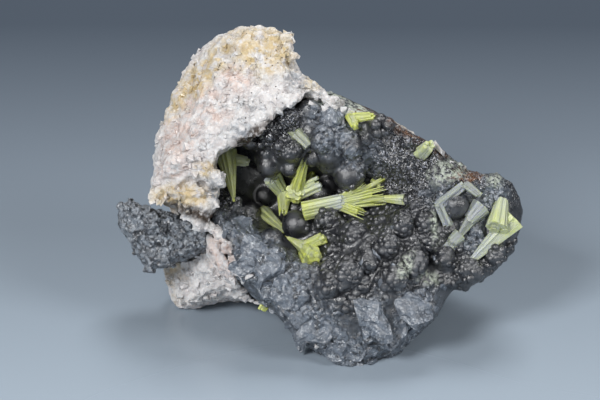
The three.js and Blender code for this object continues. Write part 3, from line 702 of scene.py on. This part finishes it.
def crystal_group(settings):
    """The look of pyromorphite, from grey-green to yellow-green by the tint of the rods."""
    tree = bpy.data.node_groups.get("pyromorphite_look")
    if tree:
        return tree
    tree, _, outlet = new_group("pyromorphite_look", {}, LOOK)
    place = millimetres(tree)
    cloud = math_node(tree, "SUBTRACT", mottle(tree, place, 1.6, 0.3, 0.7), 0.5)
    uneven = math_node(tree, "MULTIPLY", cloud, 0.25)
    tint = math_node(tree, "ADD", zone_value(tree, "tint"), uneven, clamp=True)
    colour = mix_colour(tree, tint, settings.pale, settings.yellow)
    haze = math_node(tree, "MULTIPLY", mottle(tree, place, 0.9, 0.45, 0.70), 0.3)
    colour = mix_colour(tree, haze, colour, CRYSTAL_HAZE)
    rough = ramp(tree, mottle(tree, place, 0.5, 0.3, 0.7), 0.0, 1.0, 0.28, 0.48)
    streaks = add_node(tree, "ShaderNodeTexNoise", Scale=5.0, Detail=3.0)
    tree.links.new(place, streaks.inputs["Vector"])
    link_look(tree, outlet, colour, rough, streaks.outputs["Fac"])
    return tree


def crystal_material(settings, name, transmission):
    material, tree, bsdf = new_material(name)
    look = use_group(tree, crystal_group(settings))
    tree.links.new(look["Colour"], bsdf.inputs["Base Color"])
    tree.links.new(look["Roughness"], bsdf.inputs["Roughness"])
    bsdf.inputs["IOR"].default_value = settings.index
    bsdf.inputs["Transmission Weight"].default_value = transmission
    bsdf.inputs["Subsurface Weight"].default_value = 0.6
    bsdf.inputs["Subsurface Radius"].default_value = (1.0, 1.0, 0.35)
    bsdf.inputs["Subsurface Scale"].default_value = 1.4 * MM
    add_bump(tree, bsdf, look["Height"], 0.14)
    return material


def floor_material(settings):
    material, tree, bsdf = new_material("studio_paper")
    where = add_node(tree, "ShaderNodeTexCoord")
    apart = add_node(tree, "ShaderNodeSeparateXYZ")
    tree.links.new(where.outputs["Object"], apart.inputs["Vector"])
    # Painted shade: the floor turns darker towards the back
    back = ramp(tree, apart.outputs["Y"], *FLOOR_SHADE_SPAN)
    cloud = add_node(tree, "ShaderNodeTexNoise", Scale=6.0, Detail=2.0)
    tree.links.new(where.outputs["Object"], cloud.inputs["Vector"])
    back = math_node(tree, "ADD", back, ramp(tree, cloud.outputs["Fac"], 0.3, 0.7, -0.02, 0.02), clamp=True)
    tree.links.new(mix_colour(tree, back, settings.lit_near, settings.shaded_far), bsdf.inputs["Base Color"])
    tree.links.new(ramp(tree, cloud.outputs["Fac"], 0.3, 0.7, 0.22, 0.30), bsdf.inputs["Roughness"])
    bsdf.inputs["IOR"].default_value = 1.35
    return material


# Operators


def random_turn(draw):
    axis = Vector((draw.uniform(-1, 1), draw.uniform(-1, 1), draw.uniform(-1, 1)))
    return Matrix.Rotation(draw.uniform(0, math.pi), 4, axis)


def front_of(surface, u, v):
    """Where a line straight onto the display face meets the stone, and which way the stone faces there."""
    hit, normal, _, _ = surface.ray_cast(Vector((u, v, FAR_OUT)), Vector((0, 0, -1)))
    return hit, normal


def add_block(bm, draw, middle, length):
    """A broken crystal with six uneven faces."""
    size = Matrix.Diagonal((length, length * draw.uniform(0.5, 1.0), length * draw.uniform(0.4, 0.8), 1.0))
    place = Matrix.Translation(middle) @ random_turn(draw) @ size
    for vert in bmesh.ops.create_cube(bm, size=1.0, matrix=place)["verts"]:
        vert.co += Vector((draw.gauss(0, 1), draw.gauss(0, 1), draw.gauss(0, 1))) * length * 0.13


def add_quartz_zones(obj, grimy=1.0):
    places = vertices_of(obj)
    uneven = unevenness(places)
    behind = np.clip((BACK_START - places[:, 2]) / BACK_FADE, 0.0, 1.0)
    back_stain = behind * np.clip(wobble(places, 6.0, 1.6, 4.0) - 0.1, 0.0, 0.8)
    add_zone(obj, "ochre", np.maximum(zone(places, OCHRE_SPOTS, uneven), back_stain))
    add_zone(obj, "pink", zone(places, PINK_SPOTS, uneven))
    add_zone(obj, "speck", zone(places, SPECK_SPOTS, uneven))
    add_zone(obj, "grey", zone(places, GREY_SPOTS, uneven))
    add_zone(obj, "grime", grimy * zone(places, GRIME_SPOTS, uneven))
    # Painted shade: the quartz is painted near black the deeper it sinks into the cave
    cave = zone(places, (CAVE_SPOT,), uneven)
    sunk = np.clip((-1.0 - places[:, 2]) / 2.5, 0.0, 1.0) * (places[:, 2] > CAVE_BOTTOM)
    add_zone(obj, "painted_cave_shade", cave * sunk)


class SPECIMEN_OT_quartz(bpy.types.Operator):
    """Build the broken quartz that carries the rest, and the grains on it"""

    bl_idname = "specimen.quartz"
    bl_label = "Quartz"

    def execute(self, context):
        settings = context.scene.specimen.quartz
        material = quartz_material(settings)
        draw = random.Random(3)
        bm = stone_from_node("quartz_matrix")
        for u, v, w, size in QUARTZ_LUMPS:
            add_block(bm, draw, (u, v, w), size * 1.8)
        surface = BVHTree.FromBMesh(bm)
        obj = object_from(bm, "quartz_rock")
        apply_modifier(obj, "REMESH", mode="VOXEL", voxel_size=settings.voxel)
        roughen(obj, "CLOUDS", 5.0, settings.relief * 1.8)
        roughen(obj, "CLOUDS", 2.4, settings.relief)
        roughen(obj, "VORONOI", 1.3, settings.relief * 0.7)
        add_quartz_zones(obj)
        finish_piece(obj, material, "quartz", "quartz_matrix")
        grains = object_from(self.grains(surface, draw), "quartz_grains")
        add_quartz_zones(grains)
        finish_piece(grains, material, "quartz")
        return {"FINISHED"}

    def grains(self, surface, draw):
        """Small broken crystals, half sunk in the face of the quartz."""
        bm = bmesh.new()
        for _ in range(GRAIN_TRIES):
            hit, normal = front_of(surface, draw.uniform(*GRAIN_SPAN_U), draw.uniform(*GRAIN_SPAN_V))
            length = draw.triangular(0.4, 1.7, 0.6)
            if hit is not None and hit.z > CAVE_BOTTOM:
                add_block(bm, draw, hit - normal * length * 0.22, length)
        return bm


class SPECIMEN_OT_goethite(bpy.types.Operator):
    """Build the goethite crust with its hollow, its grapes and its broken flakes"""

    bl_idname = "specimen.goethite"
    bl_label = "Goethite crust"

    def execute(self, context):
        settings = context.scene.specimen.goethite
        material = goethite_material(settings, "goethite_skin", settings.fresh)
        draw = random.Random(7)
        bm = stone_from_node("goethite_crust")
        self.add_large_grapes(bm, BVHTree.FromBMesh(bm))
        surface = BVHTree.FromBMesh(bm)
        for field in MOUND_FIELDS:
            self.fill_field(bm, surface, draw, 3, *field)
        surface = BVHTree.FromBMesh(bm)
        obj = object_from(bm, "goethite_rock")
        apply_modifier(obj, "REMESH", mode="VOXEL", voxel_size=settings.voxel)
        places = vertices_of(obj)
        add_weights(obj, "broken", self.broken(places, unevenness(places)))
        roughen(obj, "VORONOI", 1.1, 0.7, "broken")
        roughen(obj, "CLOUDS", 0.5, 0.35, "broken")
        roughen(obj, "CLOUDS", 1.5, 0.25)
        obj.data.shade_smooth()
        obj.vertex_groups.clear()
        self.add_zones(obj)
        finish_piece(obj, material, "goethite", "goethite_crust")
        grapes = object_from(self.grapes(surface, draw), "goethite_grapes")
        grapes.data.shade_smooth()
        self.add_zones(grapes)
        finish_piece(grapes, material, "goethite")
        flakes = object_from(self.flakes(surface, draw), "goethite_flakes")
        self.add_zones(flakes, 0.75)
        finish_piece(flakes, material, "goethite")
        chips = bmesh.new()
        for u, v, size in WHITE_CHIPS:
            hit, _ = front_of(surface, u, v)
            add_block(chips, draw, hit, size)
        chips = object_from(chips, "quartz_chips")
        add_quartz_zones(chips, 0.0)
        finish_piece(chips, bpy.data.materials["sugary_quartz"], "quartz")
        return {"FINISHED"}

    def broken(self, places, uneven):
        outer = 1.0 - zone(places, (HOLLOW_SPOT,), uneven)
        walls = np.clip((-6.0 - places[:, 2]) / 3.0, 0.0, 1.0) * outer
        return np.maximum(zone(places, BREAK_SPOTS, uneven), walls)

    def add_zones(self, obj, least_break=0.0):
        places = vertices_of(obj)
        uneven = unevenness(places)
        add_zone(obj, "break", np.maximum(self.broken(places, uneven), least_break))
        add_zone(obj, "drusy", zone(places, DRUSY_SPOTS, uneven))
        add_zone(obj, "pale", zone(places, PALE_SPOTS, uneven * 1.6))
        add_zone(obj, "rust", zone(places, RUST_SPOTS, uneven))
        add_zone(obj, "plate", np.full(len(places), least_break))
        # Painted shade: a mask that grows the deeper a point lies in the hollow
        hollow = zone(places, (HOLLOW_SPOT,), uneven)
        add_zone(obj, "painted_hollow_shade", hollow * np.clip((-1.0 - places[:, 2]) / 3.0, 0.0, 1.0))

    def add_large_grapes(self, bm, surface):
        for u, v, radius, rise in LARGE_GRAPES:
            hit, _ = front_of(surface, u, v)
            middle = Vector((u, v, hit.z + rise - radius * 0.5))
            bmesh.ops.create_icosphere(bm, subdivisions=4, radius=radius, matrix=Matrix.Translation(middle))

    def grapes(self, surface, draw):
        """Small grapes packed side by side."""
        bm = bmesh.new()
        for u, v, radius in BLACK_GRAPES:
            hit, _ = front_of(surface, u, v)
            bmesh.ops.create_icosphere(bm, subdivisions=3, radius=radius, matrix=Matrix.Translation(hit))
        for field in GRAPE_FIELDS:
            self.fill_field(bm, surface, draw, 2, *field)
        for field in DRUSE_FIELDS:
            self.fill_field(bm, surface, draw, 1, *field)
        return bm

    def fill_field(self, bm, surface, draw, subdivisions, u, v, half_width, half_height, most, least, tries):
        """Fills an oval field with grapes, the largest first, where they fit."""
        middles = np.empty((0, 3))
        radii = np.empty(0)
        for number in range(tries):
            radius = most + (least - most) * math.sqrt(number / tries)
            turn = draw.uniform(0, 2 * math.pi)
            reach = math.sqrt(draw.random())
            hit, normal = front_of(
                surface, u + half_width * reach * math.cos(turn), v + half_height * reach * math.sin(turn))
            if hit is None:
                continue
            if np.any(np.linalg.norm(middles - hit, axis=1) < CROWDING * (radii + radius)):
                continue
            middles = np.vstack((middles, hit))
            radii = np.append(radii, radius)
            place = Matrix.Translation(hit - normal * radius * draw.uniform(*SINKING))
            stretch = (draw.uniform(0.8, 1.2), draw.uniform(0.8, 1.2), draw.uniform(0.7, 1.0), 1.0)
            uneven = Matrix.Diagonal(stretch)
            bmesh.ops.create_icosphere(
                bm, subdivisions=subdivisions, radius=radius, matrix=place @ random_turn(draw) @ uneven)

    def add_plates(self, bm, surface, draw):
        """Larger plates of the break, laid over each other."""
        noise.seed_set(PLATE_SEED)
        for u, v, half_width, half_height, turn in PLATES:
            hit, normal = front_of(surface, u, v)
            facing = (normal + Vector((0, 0, 1))).normalized()
            lie = facing.to_track_quat("Z", "Y").to_matrix().to_4x4()
            spin = Matrix.Rotation(math.radians(turn), 4, "Z")
            size = Matrix.Diagonal((half_width, half_height, 0.4, 1.0))
            place = Matrix.Translation(hit + facing * 0.1) @ lie @ spin @ size
            made = bmesh.ops.create_icosphere(bm, subdivisions=3, radius=1.0, matrix=place)["verts"]
            for vert in made:
                vert.co += noise.noise_vector(vert.co * 0.5) * 1.1 + noise.noise_vector(vert.co * 1.8) * 0.3

    def flakes(self, surface, draw):
        """Thin broken flakes that lie on the blue-grey breaks and along the rim."""
        bm = bmesh.new()
        self.add_plates(bm, surface, draw)
        even = np.zeros(1)
        for _ in range(FLAKE_TRIES):
            hit, normal = front_of(surface, draw.uniform(*FLAKE_SPAN_U), draw.uniform(*FLAKE_SPAN_V))
            if hit is None:
                continue
            where = np.array([hit])
            on_break = zone(where, BREAK_SPOTS, even)[0] > 0.5
            on_rim = normal.z < 0.45 and zone(where, (HOLLOW_SPOT,), even)[0] < 0.5
            if not on_break and not on_rim:
                continue
            length = draw.triangular(0.4, 1.6, 0.6)
            lie = normal.to_track_quat("Z", "Y").to_matrix().to_4x4()
            lean = Matrix.Rotation(draw.uniform(-0.6, 0.6), 4, "X")
            lean = lean @ Matrix.Rotation(draw.uniform(-0.6, 0.6), 4, "Y")
            spin = Matrix.Rotation(draw.uniform(0, 2 * math.pi), 4, "Z")
            size = (length, length * draw.uniform(0.5, 0.9), length * draw.uniform(0.2, 0.4), 1.0)
            place = Matrix.Translation(hit) @ lie @ lean @ spin @ Matrix.Diagonal(size)
            made = bmesh.ops.create_icosphere(bm, subdivisions=1, radius=1.0, matrix=place)["verts"]
            for vert in made:
                vert.co += Vector((draw.gauss(0, 1), draw.gauss(0, 1), draw.gauss(0, 1))) * length * 0.12
        return bm


class SPECIMEN_OT_vein(bpy.types.Operator):
    """Build the granular goethite vein on the left"""

    bl_idname = "specimen.vein"
    bl_label = "Goethite vein"

    def execute(self, context):
        settings = context.scene.specimen.goethite
        draw = random.Random(5)
        bm = stone_from_node("goethite_vein")
        surface = BVHTree.FromBMesh(bm)
        for _ in range(BLOCK_TRIES):
            hit, _ = front_of(surface, draw.uniform(*BLOCK_SPAN_U), draw.uniform(*BLOCK_SPAN_V))
            if hit is not None:
                add_block(bm, draw, hit, draw.triangular(0.8, 2.4, 1.2))
        obj = object_from(bm, "vein_rock")
        apply_modifier(obj, "REMESH", mode="VOXEL", voxel_size=VEIN_VOXEL)
        roughen(obj, "CLOUDS", 2.2, 0.8)
        roughen(obj, "VORONOI", 0.9, 0.5)
        places = vertices_of(obj)
        add_zone(obj, "break", np.clip(1.0 + wobble(places, 1.2, 0.8, 3.0), 0.0, 1.0))
        add_zone(obj, "drusy", np.clip(wobble(places, 0.9, 0.9, 8.0), 0.0, 1.0))
        for name in ("pale", "rust", "plate", "painted_hollow_shade"):
            add_zone(obj, name, np.zeros(len(places)))
        material = goethite_material(settings, "goethite_vein_skin", settings.vein)
        finish_piece(obj, material, "goethite", "goethite_vein")
        return {"FINISHED"}


class SPECIMEN_OT_crystals(bpy.types.Operator):
    """Build the pyromorphite crystals as bundles of rods"""

    bl_idname = "specimen.crystals"
    bl_label = "Crystals"

    def execute(self, context):
        settings = context.scene.specimen.crystal
        bright = crystal_material(settings, "pyromorphite", settings.clearness)
        clear = crystal_material(settings, "clear_pyromorphite", min(1.0, settings.clearness * 3.5))
        for number, (node, bundles) in enumerate(BUNDLES.items()):
            draw = random.Random(number + 20)
            bm = bmesh.new()
            tint = bm.verts.layers.float.new("tint")
            for bundle in bundles:
                self.add_bundle(bm, tint, draw, *bundle)
            obj = object_from(bm, node.replace("crystal_", "pyromorphite_"))
            finish_piece(obj, clear if node in CLEAR_CRYSTALS else bright, "pyromorphite", node)
        return {"FINISHED"}

    def add_bundle(self, bm, tint, draw, start, end, first, last, flat, rods, fray, tint_start, tint_end):
        start, end = Vector(start), Vector(end)
        axis = (end - start).normalized()
        side = axis.cross(Vector((0, 0, 1)))
        side = side.normalized() if side.length > 0.1 else axis.orthogonal().normalized()
        other = axis.cross(side)
        self.add_core(bm, tint, start, end, side, other, first, last, flat, fray, tint_start, tint_end)
        golden = math.pi * (3 - math.sqrt(5))
        thick = 1.6 / math.sqrt(rods)
        for i in range(rods):
            reach = math.sqrt((i + 0.5) / rods) * (1 - thick * 0.5)
            turn = i * golden
            spread = side * math.cos(turn) * reach + other * math.sin(turn) * reach * flat
            low = start + spread * first - axis * draw.uniform(0, fray) * 0.5 * (end - start).length
            high = end + spread * last + axis * draw.uniform(-2.0 * fray, fray) * (end - start).length
            radius = thick * draw.uniform(0.85, 1.15)
            tip = max(0.12, 1.0 - 4.0 * fray)
            tint_tip = tint_end + draw.uniform(-0.2, 0.1)
            self.add_rod(bm, tint, low, high, radius * first, radius * last * tip, tint_start, tint_tip, draw)

    def add_core(self, bm, tint, start, end, side, other, first, last, flat, fray, tint_start, tint_end):
        """The solid heart of a bundle."""
        along = end - start
        core_end = max(0.3, 0.9 - 2.0 * fray)
        turn = Matrix((side, other, along.normalized())).transposed().to_4x4()
        place = Matrix.Translation((start + end) / 2) @ turn @ Matrix.Diagonal((1.0, flat, 1.0, 1.0))
        made = bmesh.ops.create_cone(
            bm, cap_ends=True, cap_tris=False, segments=8, radius1=first * 0.95, radius2=last * core_end,
            depth=along.length * (0.94 - fray), matrix=place)["verts"]
        for vert in made:
            share = (vert.co - start).dot(along) / along.length_squared
            vert[tint] = tint_start + (tint_end - tint_start) * share

    def add_rod(self, bm, tint, low, high, first, last, tint_start, tint_end, draw):
        along = high - low
        turn = along.to_track_quat("Z", "Y").to_matrix().to_4x4()
        place = Matrix.Translation((low + high) / 2) @ turn @ Matrix.Rotation(draw.uniform(0, 1.05), 4, "Z")
        made = bmesh.ops.create_cone(
            bm, cap_ends=True, cap_tris=False, segments=6, radius1=first, radius2=last,
            depth=along.length, matrix=place)["verts"]
        for vert in made:
            share = (vert.co - low).dot(along) / along.length_squared
            vert[tint] = tint_start + (tint_end - tint_start) * share


class SPECIMEN_OT_stage(bpy.types.Operator):
    """Set the floor, the lights and the camera"""

    bl_idname = "specimen.stage"
    bl_label = "Stage"

    def execute(self, context):
        settings = context.scene.specimen.stage
        bm = bmesh.new()
        bmesh.ops.create_grid(bm, x_segments=4, y_segments=4, size=FLOOR_HALF)
        floor = object_from(bm, "floor")
        floor.data.materials.append(floor_material(settings))
        for name, light in LIGHTS.items():
            self.add_light(name, *light)
        world = bpy.data.worlds.new("studio")
        world.use_nodes = True
        world.node_tree.nodes["Background"].inputs["Color"].default_value = SKY
        world.node_tree.nodes["Background"].inputs["Strength"].default_value = SKY_STRENGTH
        context.scene.world = world
        context.scene.view_settings.view_transform = "Standard"
        self.add_camera(context, settings.lens)
        return {"FINISHED"}

    def add_light(self, name, place, size, power):
        data = bpy.data.lights.new(name, "AREA")
        data.size = size
        data.energy = power
        light = bpy.data.objects.new(name, data)
        light.location = place
        light.rotation_euler = (LIGHT_AIM - light.location).to_track_quat("-Z", "Y").to_euler()
        bpy.context.scene.collection.objects.link(light)

    def add_camera(self, context, lens):
        data = bpy.data.cameras.new("camera")
        data.lens = lens
        data.sensor_width = SENSOR_WIDTH
        data.clip_end = 10.0
        camera = bpy.data.objects.new("camera", data)
        distance = VIEW_WIDTH * lens / SENSOR_WIDTH
        turn = Matrix.Rotation(math.pi / 2 - LEAN, 4, "X")
        camera.matrix_world = Matrix.Translation(DISPLAY @ Vector((0, 0, distance))) @ turn
        context.scene.collection.objects.link(camera)
        context.scene.camera = camera


class SPECIMEN_PT_panel(bpy.types.Panel):
    """The specimen's pieces and settings"""

    bl_idname = "SPECIMEN_PT_panel"
    bl_label = "Pyromorphite specimen"
    bl_space_type = "VIEW_3D"
    bl_region_type = "UI"
    bl_category = "Specimen"

    def draw(self, context):
        settings = context.scene.specimen
        for operator in OPERATORS:
            self.layout.operator(operator.bl_idname)
        for group in (settings.quartz, settings.goethite, settings.crystal, settings.stage):
            box = self.layout.box()
            for name in group.bl_rna.properties.keys():
                if name not in ("rna_type", "name"):
                    box.prop(group, name)


OPERATORS = (
    SPECIMEN_OT_quartz, SPECIMEN_OT_goethite, SPECIMEN_OT_vein, SPECIMEN_OT_crystals, SPECIMEN_OT_stage,
)
CLASSES = (
    QuartzSettings, GoethiteSettings, CrystalSettings, StageSettings, SpecimenSettings, *OPERATORS,
    SPECIMEN_PT_panel,
)


def register():
    for cls in CLASSES:
        bpy.utils.register_class(cls)
    bpy.types.Scene.specimen = bpy.props.PointerProperty(type=SpecimenSettings)


def unregister():
    del bpy.types.Scene.specimen
    for cls in reversed(CLASSES):
        bpy.utils.unregister_class(cls)


def main():
    register()
    bpy.ops.specimen.quartz()
    bpy.ops.specimen.goethite()
    bpy.ops.specimen.vein()
    bpy.ops.specimen.crystals()
    bpy.ops.specimen.stage()


if __name__ == "__main__":
    main()
